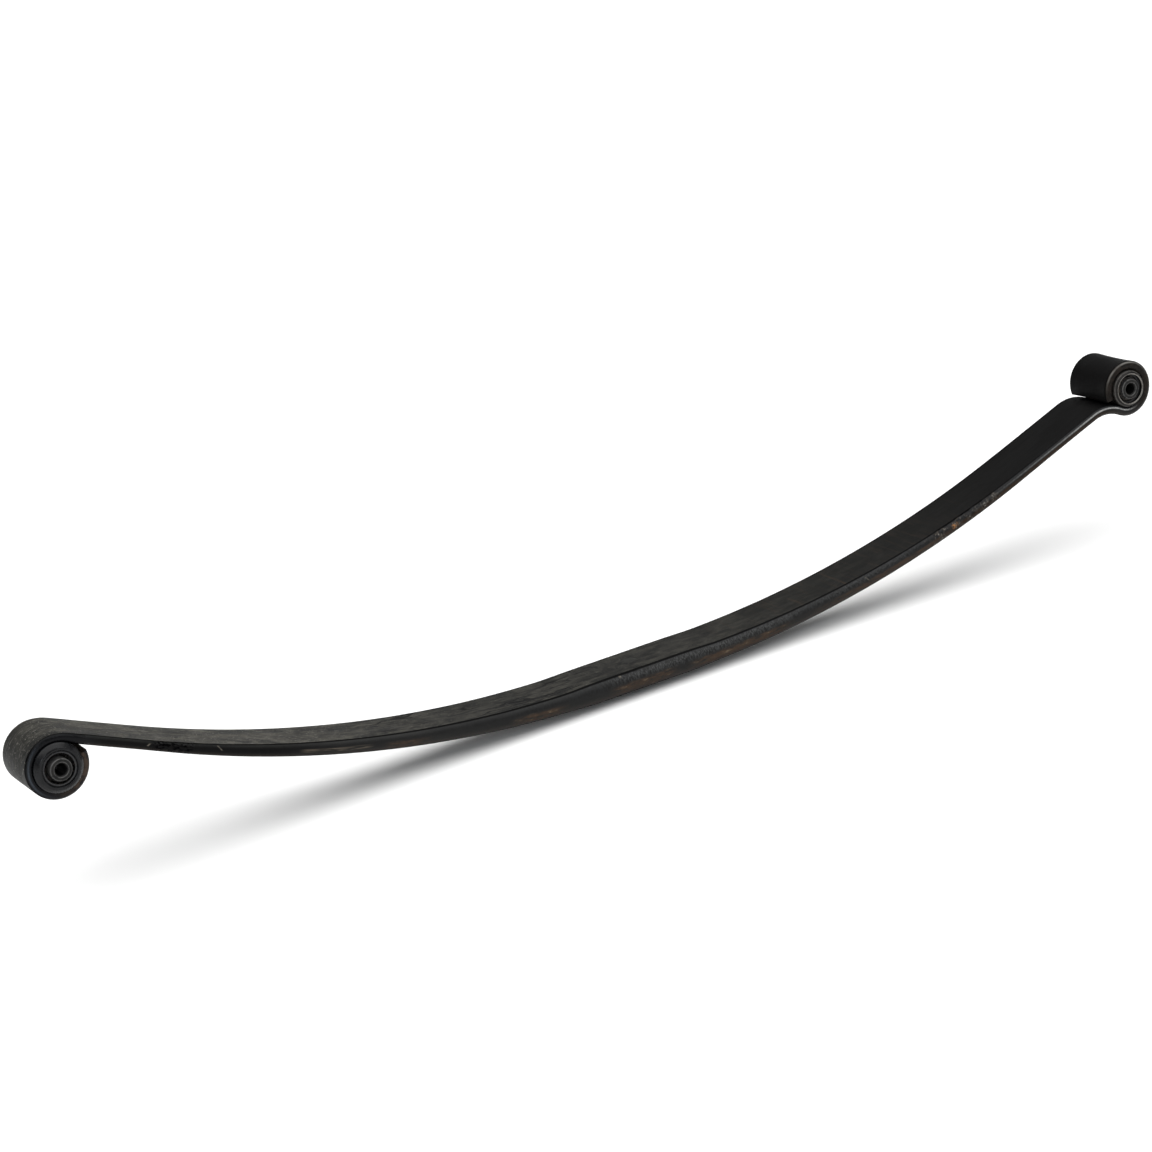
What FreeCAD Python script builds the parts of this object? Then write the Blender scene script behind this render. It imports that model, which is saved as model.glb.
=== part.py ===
import FreeCAD, Part
import Sketcher
import math
import os
from FreeCAD import Placement, Rotation, Vector

# Parabolic single-leaf rear spring of a light van.
# Frame: origin on the lower seat face at the axis of the locating dowel,
# +X towards the rear eye, +Y across the width, +Z up. Millimetres.

doc = FreeCAD.newDocument("LeafSpring")

# ------------------------------------------------------------ dimensions
DIMENSIONS = [
    # rolled bar
    ("leaf_width", 70.0),
    ("edge_ratio", 0.255),          # rise of the convex edge over the thickness
    ("seat_thickness", 24.0),
    ("root_thickness", 21.0),       # where the even taper starts
    ("tip_thickness", 10.5),        # from the end of the taper round the eye
    # centre line, measured along the leaf from the dowel
    ("seat_half", 52.0),            # flat of the axle seat, each way
    ("step_end", 104.0),            # end of the step from seat to taper
    ("taper_end", 560.0),
    ("front_camber_radius", 1220.0),
    ("front_camber_angle", 23.3),
    ("front_straight", 98.2),
    ("front_neck_radius", 42.0),    # easier bend that leads into the front eye
    ("front_neck_angle", 25.7),
    ("rear_camber_radius", 1335.0),
    ("rear_camber_angle", 20.0),
    ("rear_neck_radius", 45.0),     # reverse bend under the rear eye
    ("rear_eye_reach", 163.16),     # eye centre beyond the camber, on its tangent
    ("rear_eye_rise", 1.23),         # eye centre above that tangent
    # eyes
    ("front_eye_bore", 45.0),
    ("front_eye_wrap", 281.3),
    ("rear_eye_bore", 42.0),
    ("rear_eye_wrap", 316.0),
    # locating dowel
    ("dowel_diameter", 18.0),       # pressed shank
    ("nose_diameter", 16.0),
    ("nose_reach", 8.0),            # how far the nose stands out under the seat
    ("dowel_chamfer", 1.5),
    # front bush
    ("front_shell_wall", 1.8),
    ("front_shell_length", 66.0),
    ("front_lip_diameter", 51.0),
    ("front_lip_seat", 34.9),       # half length between the two lips
    ("front_bush_length", 84.0),
    ("front_ring_diameter", 34.0),
    ("front_sleeve_length", 90.0),
    # rear bush
    ("rear_shell_wall", 2.6),
    ("rear_shell_length", 77.0),
    ("rear_crimp_length", 4.0),     # end of the shell that is drawn inwards
    ("rear_crimp", 2.2),            # by how much its radius shrinks
    ("rear_recess", 7.0),
    ("rear_sleeve_length", 78.0),
    # inner sleeves, the same tube cut to two lengths
    ("sleeve_diameter", 23.0),
    ("sleeve_bore", 12.2),
    ("sleeve_clearance", 0.05),
    ("sleeve_countersink", 1.6),
]

sheet = doc.addObject("Spreadsheet::Sheet", "Dimensions")
for row, (alias, value) in enumerate(DIMENSIONS, start=1):
    sheet.set(f"A{row}", alias)
    sheet.set(f"B{row}", str(value))
    sheet.setAlias(f"B{row}", alias)
doc.recompute()


def size(alias):
    """Value of one driving dimension."""
    return float(sheet.get(alias))


def origin_plane(body, role):
    """One of a body's own base planes."""
    return next(f for f in body.Origin.OriginFeatures if f.Role == role)


def new_body(label):
    body = doc.addObject("PartDesign::Body", label)
    body.Label = label
    return body


def new_sketch(body, name, role, offset=None):
    sketch = body.newObject("Sketcher::SketchObject", name)
    sketch.AttachmentSupport = (origin_plane(body, role), [""])
    sketch.MapMode = "FlatFace"
    if offset is not None:
        sketch.AttachmentOffset = offset
    return sketch


def dimension(sketch, name, constraint, expression):
    """Add a named driving constraint bound to the sheet."""
    index = sketch.addConstraint(constraint)
    sketch.renameConstraint(index, name)
    sketch.setExpression(f"Constraints.{name}", expression)


# ------------------------------------------------- the leaf's centre line
FRONT, REAR = -1, 1


def point_on_arm(side, distance):
    """(x, z, rise angle) of the centre line at a distance from the dowel."""
    name = "front" if side == FRONT else "rear"
    radius = size(f"{name}_camber_radius")
    full = math.radians(size(f"{name}_camber_angle"))
    flat = size("seat_half")
    angle = min(max((distance - flat) / radius, 0.0), full)
    straight = max(distance - flat - radius * full, 0.0)
    level = min(distance, flat)
    x = level + radius * math.sin(angle) + straight * math.cos(angle)
    z = radius * (1.0 - math.cos(angle)) + straight * math.sin(angle)
    return side * x, z + size("seat_thickness") / 2.0, angle


def camber_end(side):
    name = "front" if side == FRONT else "rear"
    sweep = math.radians(size(f"{name}_camber_angle"))
    return size("seat_half") + size(f"{name}_camber_radius") * sweep


def front_eye():
    """Neck and centre of the downturned eye.

    The neck is an easier bend the same way as the eye, so the eye's centre
    lies on the neck's last radius.
    """
    reach = camber_end(FRONT) + size("front_straight")
    x, z, rise = point_on_arm(FRONT, reach)
    neck = size("front_neck_radius")
    middle = (size("front_eye_bore") + size("tip_thickness")) / 2.0
    start = (x - neck * math.sin(rise), z - neck * math.cos(rise))
    turned = math.radians(size("front_neck_angle")) - rise
    back = neck - middle
    centre = (start[0] - back * math.sin(turned), start[1] + back * math.cos(turned))
    return reach, start, centre, rise, turned, middle


def rear_eye():
    """Neck and centre of the upturned eye.

    The neck bends down from the straight with its centre below the leaf, and
    the eye bends up again: their centres are the sum of the two radii apart.
    """
    x, z, rise = point_on_arm(REAR, camber_end(REAR))
    middle = (size("rear_eye_bore") + size("tip_thickness")) / 2.0
    neck = size("rear_neck_radius")
    lift = size("rear_eye_rise")
    apart = math.sqrt((neck + middle) ** 2 - (neck + lift) ** 2)
    along = size("rear_eye_reach")
    start = along - apart
    ux, uz = math.cos(rise), math.sin(rise)
    neck_centre = (x + start * ux + neck * uz, z + start * uz - neck * ux)
    centre = (x + along * ux - lift * uz, z + along * uz + lift * ux)
    toward = math.atan2(centre[0] - neck_centre[0], centre[1] - neck_centre[1])
    return camber_end(REAR) + start, neck_centre, centre, rise, toward, middle


(front_reach, front_neck, front_centre, front_rise,
 front_turned, front_middle) = front_eye()
(rear_reach, rear_neck, rear_centre, rear_rise,
 rear_turned, rear_middle) = rear_eye()


# --------------------------------------------------------------- the leaf
def thickness_at(distance):
    """Thickness and its expression: seat, eased step, even taper, tip."""
    seat, root, tip = "seat_thickness", "root_thickness", "tip_thickness"
    begin, step, end = size("seat_half"), size("step_end"), size("taper_end")
    if distance <= begin:
        share, thick, thin = 1.0, seat, root
    elif distance <= step:
        share = 0.5 + 0.5 * math.cos(math.pi * (distance - begin) / (step - begin))
        thick, thin = seat, root
    else:
        share = max(0.0, (end - distance) / (end - step))
        thick, thin = root, tip
    value = size(thin) + share * (size(thick) - size(thin))
    text = (f"Dimensions.{thin} + {share:.4f}"
            f" * (Dimensions.{thick} - Dimensions.{thin})")
    return value, text


def bar_section(body, name, x, z, turn, distance, radius=0.0, radius_text="0"):
    """Section of the rolled bar: flat faces, convex edges, crisp corners.

    The sketch stands on the YZ plane moved to (x, z) and turned about Y.
    radius puts the section that far out from the sketch's own X axis.
    """
    value, text = thickness_at(distance)
    ratio = size("edge_ratio")
    width = size("leaf_width")
    half = value / 2.0
    rise = ratio * value
    edge = (half ** 2 + rise ** 2) / (2.0 * rise)
    flat = width / 2.0 - rise
    spread = math.atan2(half, edge - rise)
    middle = Vector(width / 2.0 - edge, radius, 0)
    offset = Placement(Vector(0, z, x), Rotation(Vector(1, 0, 0), turn))
    sketch = new_sketch(body, name, "YZ_Plane", offset)
    top, bottom = radius + half, radius - half
    up = Vector(0, 0, 1)
    sketch.addGeometry([
        Part.LineSegment(Vector(-flat, top, 0), Vector(flat, top, 0)),
        Part.ArcOfCircle(Part.Circle(middle, up, edge), -spread, spread),
        Part.LineSegment(Vector(flat, bottom, 0), Vector(-flat, bottom, 0)),
        Part.ArcOfCircle(Part.Circle(Vector(-middle.x, radius, 0), up, edge),
                         math.pi - spread, math.pi + spread),
    ], False)
    sketch.addConstraint([
        Sketcher.Constraint("Coincident", 0, 2, 1, 2),
        Sketcher.Constraint("Coincident", 1, 1, 2, 1),
        Sketcher.Constraint("Coincident", 2, 2, 3, 2),
        Sketcher.Constraint("Coincident", 3, 1, 0, 1),
        Sketcher.Constraint("Horizontal", 2),
        Sketcher.Constraint("Vertical", 0, 2, 2, 1),
        Sketcher.Constraint("Vertical", 0, 1, 2, 2),
        Sketcher.Constraint("Symmetric", 0, 1, 0, 2, -2),
        Sketcher.Constraint("Equal", 1, 3),
    ])
    dimension(sketch, "thickness",
              Sketcher.Constraint("DistanceY", 2, 1, 0, 2, value), text)
    dimension(sketch, "flat_width",
              Sketcher.Constraint("DistanceX", 0, 1, 0, 2, 2.0 * flat),
              f"Dimensions.leaf_width - 2 * Dimensions.edge_ratio * ({text})")
    dimension(sketch, "edge_radius",
              Sketcher.Constraint("Radius", 1, edge),
              f"({text}) * (0.25 + Dimensions.edge_ratio ^ 2)"
              " / (2 * Dimensions.edge_ratio)")
    if radius:
        dimension(sketch, "bend_radius",
                  Sketcher.Constraint("DistanceY", -1, 1, 1, 3, radius),
                  radius_text)
    else:
        sketch.addConstraint(Sketcher.Constraint("PointOnObject", 1, 3, -1))
    return sketch


leaf = new_body("leaf")


def arm_section(side, distance):
    x, z, rise = point_on_arm(side, distance)
    where = "Front" if side == FRONT else "Rear"
    name = f"{where}Section{int(round(distance))}"
    turn = -side * math.degrees(rise)
    return bar_section(leaf, name, x, z, turn, distance)


def loft_arm(name, side, distances):
    sections = [arm_section(side, d) for d in distances]
    loft = leaf.newObject("PartDesign::AdditiveLoft", name)
    loft.Profile = sections[0]
    loft.Sections = sections[1:]
    loft.Ruled = False
    return loft


seat = leaf.newObject("PartDesign::Pad", "Seat")
seat.Profile = bar_section(leaf, "SeatSection", 0.0,
                           size("seat_thickness") / 2.0, 0.0, 0.0)
seat.Midplane = True
seat.setExpression("Length", "2 * Dimensions.seat_half")

STEP_STATIONS = [size("seat_half") + f * (size("step_end") - size("seat_half"))
                 for f in (0.0, 0.25, 0.5, 0.75, 1.0)]
TAPER_STATIONS = [size("step_end") + f * (size("taper_end") - size("step_end"))
                  for f in (0.0, 0.17, 0.34, 0.51, 0.68, 0.84, 1.0)]
for side, where in ((FRONT, "Front"), (REAR, "Rear")):
    loft_arm(f"{where}Step", side, STEP_STATIONS)
    loft_arm(f"{where}Taper", side, TAPER_STATIONS)


def straight_end(name, side, reach):
    """Parallel stretch of tip thickness between the taper and the eye."""
    x, z, rise = point_on_arm(side, size("taper_end"))
    pad = leaf.newObject("PartDesign::Pad", name)
    pad.Profile = bar_section(leaf, f"{name}Section", x, z,
                              -side * math.degrees(rise), size("taper_end"))
    pad.Length = reach - size("taper_end")
    pad.Reversed = side == FRONT
    return pad


def bend(name, centre, turn, radius, radius_text, angle, backwards):
    """Bar of tip thickness bent about an axis across the leaf."""
    sketch = bar_section(leaf, f"{name}Section", centre[0], centre[1], turn,
                         size("taper_end"), radius, radius_text)
    rolled = leaf.newObject("PartDesign::Revolution", name)
    rolled.Profile = sketch
    rolled.ReferenceAxis = (sketch, ["H_Axis"])
    if isinstance(angle, str):
        rolled.setExpression("Angle", angle)
    else:
        rolled.Angle = angle
    rolled.Reversed = backwards
    return rolled


straight_end("FrontStraight", FRONT, front_reach)
straight_end("RearStraight", REAR, rear_reach)
bend("FrontNeck", front_neck, math.degrees(front_rise),
     size("front_neck_radius"), "Dimensions.front_neck_radius",
     "Dimensions.front_neck_angle", True)
bend("FrontEye", front_centre, -math.degrees(front_turned), front_middle,
     "(Dimensions.front_eye_bore + Dimensions.tip_thickness) / 2",
     "Dimensions.front_eye_wrap", True)
bend("RearNeck", rear_neck, -math.degrees(rear_rise),
     size("rear_neck_radius"), "Dimensions.rear_neck_radius",
     math.degrees(rear_rise + rear_turned), False)
bend("RearEye", rear_centre, 180.0 + math.degrees(rear_turned), rear_middle,
     "(Dimensions.rear_eye_bore + Dimensions.tip_thickness) / 2",
     "Dimensions.rear_eye_wrap", True)


def circle_at_origin(sketch, alias):
    circle = Part.Circle(Vector(0, 0, 0), Vector(0, 0, 1), size(alias) / 2)
    sketch.addGeometry(circle, False)
    sketch.addConstraint(Sketcher.Constraint("Coincident", 0, 3, -1, 1))
    dimension(sketch, "diameter",
              Sketcher.Constraint("Diameter", 0, size(alias)), f"Dimensions.{alias}")


# through hole for the dowel
hole_sketch = new_sketch(leaf, "DowelHoleSketch", "XY_Plane")
circle_at_origin(hole_sketch, "dowel_diameter")
dowel_hole = leaf.newObject("PartDesign::Pocket", "DowelHole")
dowel_hole.Profile = hole_sketch
dowel_hole.Type = "ThroughAll"
dowel_hole.Midplane = True
leaf.Placement = Placement()


# ------------------------------------------------- turned and moulded parts
def value_of(entry):
    """Number behind an outline coordinate, which may be an expression."""
    return float(sheet.evalExpression(entry)) if isinstance(entry, str) else entry


def end_at(sketch, index, point):
    """1 if the geometry starts at the point, 2 if it ends there."""
    gaps = [(sketch.getPoint(index, end) - point).Length for end in (1, 2)]
    return 1 if gaps[0] < gaps[1] else 2


def turned_about_y(label, half_outline, centre):
    """Body of revolution about Y, symmetric about the leaf's middle plane.

    half_outline lists (radius, half length) corners for +Y, bore first. A
    third entry makes the stretch to the next corner an arc through it.
    """
    body = new_body(label)
    sketch = new_sketch(body, f"{label}_outline", "XY_Plane")
    corners = [Vector(value_of(c[0]), value_of(c[1]), 0) for c in half_outline]
    vias = [Vector(value_of(c[2][0]), value_of(c[2][1]), 0)
            if len(c) > 2 else None for c in half_outline]
    half = len(corners)
    ring = corners + [Vector(c.x, -c.y, 0) for c in reversed(corners)]
    for i in range(2 * half):
        start, end = ring[i], ring[(i + 1) % (2 * half)]
        via = vias[i] if i < half else None
        if half <= i < 2 * half - 1 and vias[2 * half - 2 - i] is not None:
            over = vias[2 * half - 2 - i]
            via = Vector(over.x, -over.y, 0)
        curve = Part.Arc(start, via, end) if via else Part.LineSegment(start, end)
        sketch.addGeometry(curve, False)
    starts = [end_at(sketch, i, ring[i]) for i in range(2 * half)]
    rules = []
    for i, curve in enumerate(sketch.Geometry):
        after = (i + 1) % (2 * half)
        rules.append(Sketcher.Constraint(
            "Coincident", i, 3 - starts[i], after, starts[after]))
        if hasattr(curve, "Radius"):
            rules.append(Sketcher.Constraint("Radius", i, curve.Radius))
    for i in range(half):
        twin = 2 * half - 1 - i
        rules.append(Sketcher.Constraint(
            "Symmetric", i, starts[i], twin, starts[twin], -1))
    sketch.addConstraint(rules)
    for i, corner in enumerate(half_outline):
        for kind, entry in (("DistanceX", corner[0]), ("DistanceY", corner[1])):
            rule = Sketcher.Constraint(kind, -1, 1, i, starts[i], value_of(entry))
            dimension(sketch, f"{kind}_{i}", rule, entry)
    revolution = body.newObject("PartDesign::Revolution", f"{label}_turned")
    revolution.Profile = sketch
    revolution.ReferenceAxis = (sketch, ["V_Axis"])
    revolution.Angle = 360.0
    body.Placement = Placement(Vector(centre[0], 0, centre[1]), Rotation())
    return body


def inner_sleeve(label, centre, length):
    """Thick steel tube that the eye bolt clamps, countersunk at both ends."""
    bore = "Dimensions.sleeve_bore / 2"
    outside = "Dimensions.sleeve_diameter / 2"
    end = f"Dimensions.{length} / 2"
    cut = "Dimensions.sleeve_countersink"
    return turned_about_y(label, [
        (bore, f"{end} - {cut}"),
        (f"{bore} + {cut}", end),
        (f"{outside} - {cut} / 2", end),
        (outside, f"{end} - {cut} / 2"),
    ], centre)


# front bush: thin shell, rubber with a wide moulded lip at both ends
front_bore = "Dimensions.front_eye_bore / 2"
front_shell_in = f"{front_bore} - Dimensions.front_shell_wall"
front_shell_end = "Dimensions.front_shell_length / 2"
sleeve_seat = "Dimensions.sleeve_diameter / 2 + Dimensions.sleeve_clearance"
lip = "Dimensions.front_lip_diameter / 2"
lip_seat = "Dimensions.front_lip_seat"
lip_end = "Dimensions.front_bush_length / 2"
ring = "Dimensions.front_ring_diameter / 2"

turned_about_y("front_bush_outer_shell", [
    (front_shell_in, front_shell_end),
    (front_bore, front_shell_end),
], front_centre)

turned_about_y("front_bush_rubber", [
    (sleeve_seat, f"{lip_end} - 7.5"),
    (f"{ring} - 2.6", f"{lip_end} - 6.5"),
    (f"{ring} - 1.4", f"{lip_end} - 1.6"),
    (f"{ring} - 0.2", f"{lip_end} - 1.4"),
    (f"{ring} + 0.6", f"{lip_end} - 2.0"),
    (f"{ring} + 1.6", f"{lip_end} - 0.4", (f"{ring} + 3.6", lip_end)),
    (f"{lip} - 0.6", f"{lip_end} - 4.0"),
    (lip, f"{lip_end} - 4.8"),
    (lip, lip_seat),
    (f"{front_bore} - 0.2", lip_seat),
    (f"{front_bore} - 0.2", front_shell_end),
    (front_shell_in, front_shell_end),
], front_centre)

inner_sleeve("front_bush_inner_sleeve", front_centre, "front_sleeve_length")

# rear bush: thicker shell standing proud of the eye with its ends drawn
# inwards, recessed rubber
rear_bore = "Dimensions.rear_eye_bore / 2"
rear_shell_in = f"{rear_bore} - Dimensions.rear_shell_wall"
rear_shell_end = "Dimensions.rear_shell_length / 2"
recess = f"{rear_shell_end} - Dimensions.rear_recess"
crimp = "Dimensions.rear_crimp"
crimp_start = f"{rear_shell_end} - Dimensions.rear_crimp_length"

turned_about_y("rear_bush_outer_shell", [
    (rear_shell_in, crimp_start),
    (f"{rear_shell_in} - {crimp}", f"{rear_shell_end} - 0.8"),
    (f"{rear_shell_in} - {crimp} + 0.8", rear_shell_end),
    (f"{rear_bore} - {crimp} - 0.8", rear_shell_end),
    (f"{rear_bore} - {crimp}", f"{rear_shell_end} - 0.8"),
    (rear_bore, crimp_start),
], rear_centre)

turned_about_y("rear_bush_rubber", [
    (sleeve_seat, f"{recess} + 3.0"),
    (f"{sleeve_seat} + 1.4", f"{recess} + 3.0"),
    (f"{sleeve_seat} + 2.0", f"{recess} + 0.6", (f"{sleeve_seat} + 3.2", recess)),
    (f"{rear_shell_in} - 1.6", f"{recess} + 0.6"),
    (f"{rear_shell_in} - 1.0", f"{recess} + 1.8"),
    (rear_shell_in, f"{recess} + 1.8"),
], rear_centre)

inner_sleeve("rear_bush_inner_sleeve", rear_centre, "rear_sleeve_length")


# ------------------------------------------------------ locating dowel
# The shank is pressed into the leaf, flush with both faces, and its smaller
# chamfered nose stands out under the seat.
dowel = new_body("centre_dowel")
shank_sketch = new_sketch(dowel, "ShankSketch", "XY_Plane")
circle_at_origin(shank_sketch, "dowel_diameter")
shank = dowel.newObject("PartDesign::Pad", "Shank")
shank.Profile = shank_sketch
shank.setExpression("Length", "Dimensions.seat_thickness")
nose_sketch = new_sketch(dowel, "NoseSketch", "XY_Plane")
circle_at_origin(nose_sketch, "nose_diameter")
nose = dowel.newObject("PartDesign::Pad", "Nose")
nose.Profile = nose_sketch
nose.Reversed = True
nose.setExpression("Length", "Dimensions.nose_reach")
doc.recompute()


def lowest_edge(shape):
    """Name of the round edge that lies lowest on the shape."""
    heights = [edge.BoundBox.ZMax for edge in shape.Edges]
    return f"Edge{heights.index(min(heights)) + 1}"


lead = dowel.newObject("PartDesign::Chamfer", "NoseChamfer")
lead.Base = (nose, [lowest_edge(nose.Shape)])
lead.setExpression("Size", "Dimensions.dowel_chamfer")
dowel.Placement = Placement()
doc.recompute()

# ----------------------------------------------------------- check and write
print(f"eye centres: front {front_centre[0]:.3f}, {front_centre[1]:.3f};"
      f" rear {rear_centre[0]:.3f}, {rear_centre[1]:.3f}")

NODES = [
    "leaf",
    "centre_dowel",
    "front_bush_outer_shell",
    "front_bush_rubber",
    "front_bush_inner_sleeve",
    "rear_bush_outer_shell",
    "rear_bush_rubber",
    "rear_bush_inner_sleeve",
]

for item in doc.Objects:
    if "Invalid" in item.State or "Error" in item.State:
        raise RuntimeError(f"{item.Name} failed: {item.State}")

os.makedirs("parts", exist_ok=True)
for label in NODES:
    body = doc.getObjectsByLabel(label)[0]
    shape = body.Shape
    if shape.isNull() or not shape.isValid() or len(shape.Solids) != 1:
        raise RuntimeError(f"{label} is not one sound solid")
    shape.exportStep(f"parts/{label}.step")
    box = shape.BoundBox
    print(f"{label}: {shape.Volume / 1000.0:.1f} cm3,"
          f" X {box.XMin:.1f}..{box.XMax:.1f}"
          f" Y {box.YMin:.1f}..{box.YMax:.1f} Z {box.ZMin:.1f}..{box.ZMax:.1f}")
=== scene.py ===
import math

import bmesh
import bpy
from mathutils import Matrix, Vector, noise


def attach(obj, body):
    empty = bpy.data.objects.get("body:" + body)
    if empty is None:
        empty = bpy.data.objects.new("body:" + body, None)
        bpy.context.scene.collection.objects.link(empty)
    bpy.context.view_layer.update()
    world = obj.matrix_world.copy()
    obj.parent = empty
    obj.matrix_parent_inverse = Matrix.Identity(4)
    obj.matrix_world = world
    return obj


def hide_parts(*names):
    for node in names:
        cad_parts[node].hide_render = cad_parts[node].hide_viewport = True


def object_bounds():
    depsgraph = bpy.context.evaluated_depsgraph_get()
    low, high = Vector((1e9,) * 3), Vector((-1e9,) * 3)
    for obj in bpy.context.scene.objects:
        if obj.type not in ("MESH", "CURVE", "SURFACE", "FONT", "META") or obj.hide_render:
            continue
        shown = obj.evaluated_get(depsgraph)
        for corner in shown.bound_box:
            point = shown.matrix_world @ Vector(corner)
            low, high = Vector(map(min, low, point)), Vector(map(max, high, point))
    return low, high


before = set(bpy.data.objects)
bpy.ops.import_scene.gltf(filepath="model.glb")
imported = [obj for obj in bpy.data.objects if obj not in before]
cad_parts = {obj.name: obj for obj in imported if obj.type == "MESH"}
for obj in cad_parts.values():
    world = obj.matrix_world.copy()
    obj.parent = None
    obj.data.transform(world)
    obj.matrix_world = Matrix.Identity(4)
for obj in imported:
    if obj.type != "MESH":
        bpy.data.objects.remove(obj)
cad_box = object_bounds()

# ---------------------------------------------------------------- dimensions
# Metres, the same driving sizes as the CAD part.
WIDTH = 0.070
EDGE_RATIO = 0.255              # rise of the convex edge over the thickness
SEAT_THICK = 0.024
ROOT_THICK = 0.021
TIP_THICK = 0.0105
SEAT_HALF = 0.052
STEP_END = 0.104
TAPER_END = 0.560
FRONT_RADIUS, FRONT_SWEEP = 1.220, math.radians(23.3)
FRONT_STRAIGHT = 0.0982
FRONT_NECK, FRONT_NECK_SWEEP = 0.042, math.radians(25.7)
REAR_RADIUS, REAR_SWEEP = 1.335, math.radians(20.0)
REAR_NECK = 0.045
REAR_REACH, REAR_RISE = 0.16316, 0.00123
FRONT_BORE, FRONT_WRAP = 0.045, math.radians(281.3)
REAR_BORE, REAR_WRAP = 0.042, math.radians(316.0)
DOWEL_RADIUS, NOSE_RADIUS = 0.009, 0.008
NOSE_REACH, NOSE_CHAMFER = 0.008, 0.0015
SLEEVE_RADIUS, SLEEVE_BORE = 0.0115, 0.0061
STATION_STEP = 0.0020           # spacing of the leaf's mesh rings
CORNER_RADIUS = 0.0007          # where a flat face meets the rounded edge
MEAN_THICK = 0.016              # turns the bar's relative height into metres
TURNED_SEGMENTS, DOWEL_SEGMENTS = 128, 96
# edges sharper than these stay crisp
TURNED_CREASE, LEAF_CREASE = math.radians(32.0), math.radians(40.0)


# --------------------------------------------------------- leaf centre line
class Walker:
    """Walks a centre line in the XZ plane and records stations.

    Each station is (position, outward tangent, thickness, distance).
    """

    def __init__(self, side):
        self.side = side
        self.at = Vector((0.0, SEAT_THICK / 2.0))
        self.heading = 0.0
        self.walked = 0.0
        self.stations = []

    def thickness(self):
        if self.walked <= SEAT_HALF:
            return SEAT_THICK
        if self.walked <= STEP_END:
            share = (self.walked - SEAT_HALF) / (STEP_END - SEAT_HALF)
            ease = 0.5 + 0.5 * math.cos(math.pi * share)
            return ROOT_THICK + ease * (SEAT_THICK - ROOT_THICK)
        share = max(0.0, (TAPER_END - self.walked) / (TAPER_END - STEP_END))
        return TIP_THICK + share * (ROOT_THICK - TIP_THICK)

    def record(self):
        tangent = Vector((math.cos(self.heading), math.sin(self.heading)))
        self.stations.append((self.at.copy(), tangent, self.thickness(), self.walked))

    def go(self, length, radius=None):
        """Advance along a straight, or an arc that rises for radius > 0."""
        count = max(1, round(length / STATION_STEP))
        for _ in range(count):
            step = length / count
            turn = step / radius if radius else 0.0
            chord = step if not turn else 2.0 * radius * math.sin(turn / 2.0)
            middle = self.heading + turn / 2.0
            self.at += chord * Vector((math.cos(middle), math.sin(middle)))
            self.heading += turn
            self.walked += step
            self.record()


def front_arm():
    walker = Walker(-1)
    walker.go(SEAT_HALF)
    walker.go(FRONT_RADIUS * FRONT_SWEEP, FRONT_RADIUS)
    walker.go(FRONT_STRAIGHT)
    walker.go(FRONT_NECK * FRONT_NECK_SWEEP, -FRONT_NECK)
    eye = (FRONT_BORE + TIP_THICK) / 2.0
    normal = Vector((-math.sin(walker.heading), math.cos(walker.heading)))
    centre = walker.at - eye * normal
    walker.go(eye * FRONT_WRAP, -eye)
    return walker, centre


def rear_arm():
    walker = Walker(1)
    walker.go(SEAT_HALF)
    walker.go(REAR_RADIUS * REAR_SWEEP, REAR_RADIUS)
    eye = (REAR_BORE + TIP_THICK) / 2.0
    apart = math.sqrt((REAR_NECK + eye) ** 2 - (REAR_NECK + REAR_RISE) ** 2)
    walker.go(REAR_REACH - apart)
    walker.go(REAR_NECK * math.atan2(apart, REAR_NECK + REAR_RISE), -REAR_NECK)
    normal = Vector((-math.sin(walker.heading), math.cos(walker.heading)))
    centre = walker.at + eye * normal
    walker.go(eye * REAR_WRAP, eye)
    return walker, centre


def bar_outline(thickness):
    """Section of the bar as (across, height) pairs, anticlockwise from +Y.

    Flat faces and convex edges, with a small radius at each corner.
    """
    half = thickness / 2.0
    rise = EDGE_RATIO * thickness
    edge = (half ** 2 + rise ** 2) / (2.0 * rise)
    centre = WIDTH / 2.0 - edge
    # the corner radius touches the flat from below and the edge arc inside
    small_y = half - CORNER_RADIUS
    small_x = centre + math.sqrt((edge - CORNER_RADIUS) ** 2 - small_y ** 2)
    meet = math.atan2(small_y, small_x - centre)
    quarter = []
    for i in range(9):
        angle = meet * i / 8.0
        quarter.append((centre + edge * math.cos(angle), edge * math.sin(angle)))
    for i in range(1, 5):
        angle = meet + (math.pi / 2.0 - meet) * i / 4.0
        quarter.append((small_x + CORNER_RADIUS * math.cos(angle),
                        small_y + CORNER_RADIUS * math.sin(angle)))
    for i in range(1, 13):
        quarter.append((small_x * (1.0 - i / 12.0), half))
    upper = quarter + [(-y, z) for y, z in reversed(quarter[:-1])]
    lower = [(y, -z) for y, z in reversed(upper[1:-1])]
    return upper + lower


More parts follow.
